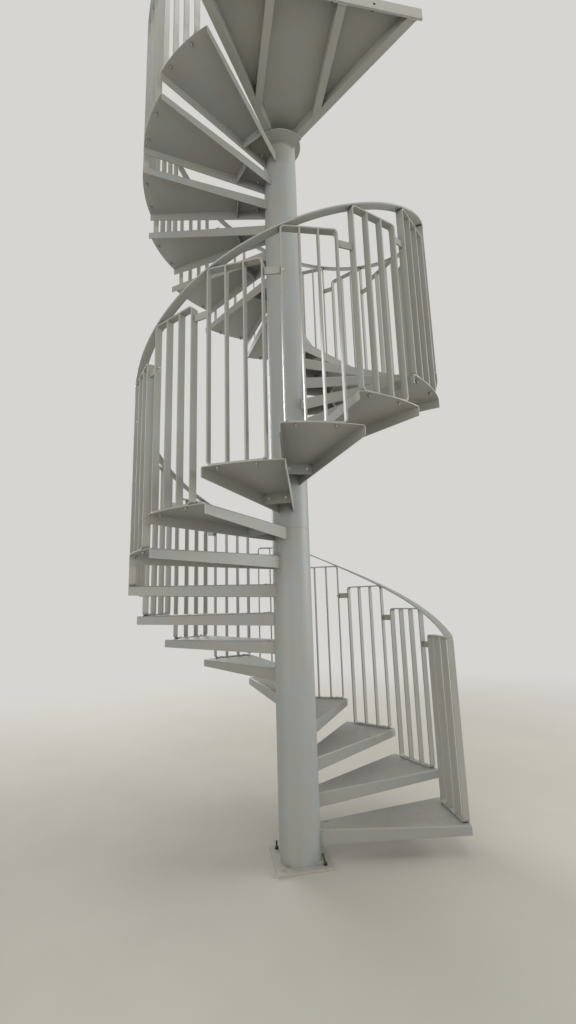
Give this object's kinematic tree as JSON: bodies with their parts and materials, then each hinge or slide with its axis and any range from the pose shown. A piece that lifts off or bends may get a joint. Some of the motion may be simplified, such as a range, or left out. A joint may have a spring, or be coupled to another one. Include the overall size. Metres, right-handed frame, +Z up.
{
  "type": "spiral stair",
  "caption": "Spiral steel stair: a round column on a bolted base plate, pressed wedge treads, a barred panel at each tread, a helical flat handrail and a bolted landing.",
  "frame": {"origin": "middle of the base plate's underside, on the column's axis, at the level of the lower floor", "axes": "+Z up along the column; the landing leaves the stair towards -Y; the stair climbs counter-clockwise seen from above, from a first tread that points along +X"},
  "size_m": [2, 2, 5.9617],
  "materials": {
    "column_paint": "satin light grey paint, scuffed, on steel tube and plate",
    "tread_paint": "satin light grey paint on pressed plate, walked grey along the nosings",
    "balustrade_paint": "satin light grey paint on flat bar",
    "handrail_paint": "satin light grey paint on flat bar, polished by hands",
    "landing_paint": "satin light grey paint on hollow section and plate"
  },
  "bodies": {
    "root": {"base_plate": "column_paint", "column_lower": "column_paint", "column_upper": "column_paint", "tread_01": "tread_paint", "tread_02": "tread_paint", "tread_03": "tread_paint", "tread_04": "tread_paint", "tread_05": "tread_paint", "tread_06": "tread_paint", "tread_07": "tread_paint", "tread_08": "tread_paint", "tread_09": "tread_paint", "tread_10": "tread_paint", "tread_11": "tread_paint", "tread_12": "tread_paint", "tread_13": "tread_paint", "tread_14": "tread_paint", "tread_15": "tread_paint", "tread_16": "tread_paint", "tread_17": "tread_paint", "tread_18": "tread_paint", "tread_19": "tread_paint", "tread_20": "tread_paint", "tread_21": "tread_paint", "tread_22": "tread_paint", "tread_23": "tread_paint", "tread_24": "tread_paint", "tread_25": "tread_paint", "tread_26": "tread_paint", "tread_27": "tread_paint", "panels_1": "balustrade_paint", "panels_2": "balustrade_paint", "panels_3": "balustrade_paint", "panels_4": "balustrade_paint", "panel_links": "balustrade_paint", "handrail_1": "handrail_paint", "handrail_2": "handrail_paint", "handrail_3": "handrail_paint", "handrail_4": "handrail_paint", "landing_seat": "landing_paint", "landing_sides": "landing_paint", "landing_joists": "landing_paint", "landing_edge": "landing_paint", "landing_deck": "landing_paint"}
  },
  "joints": []
}
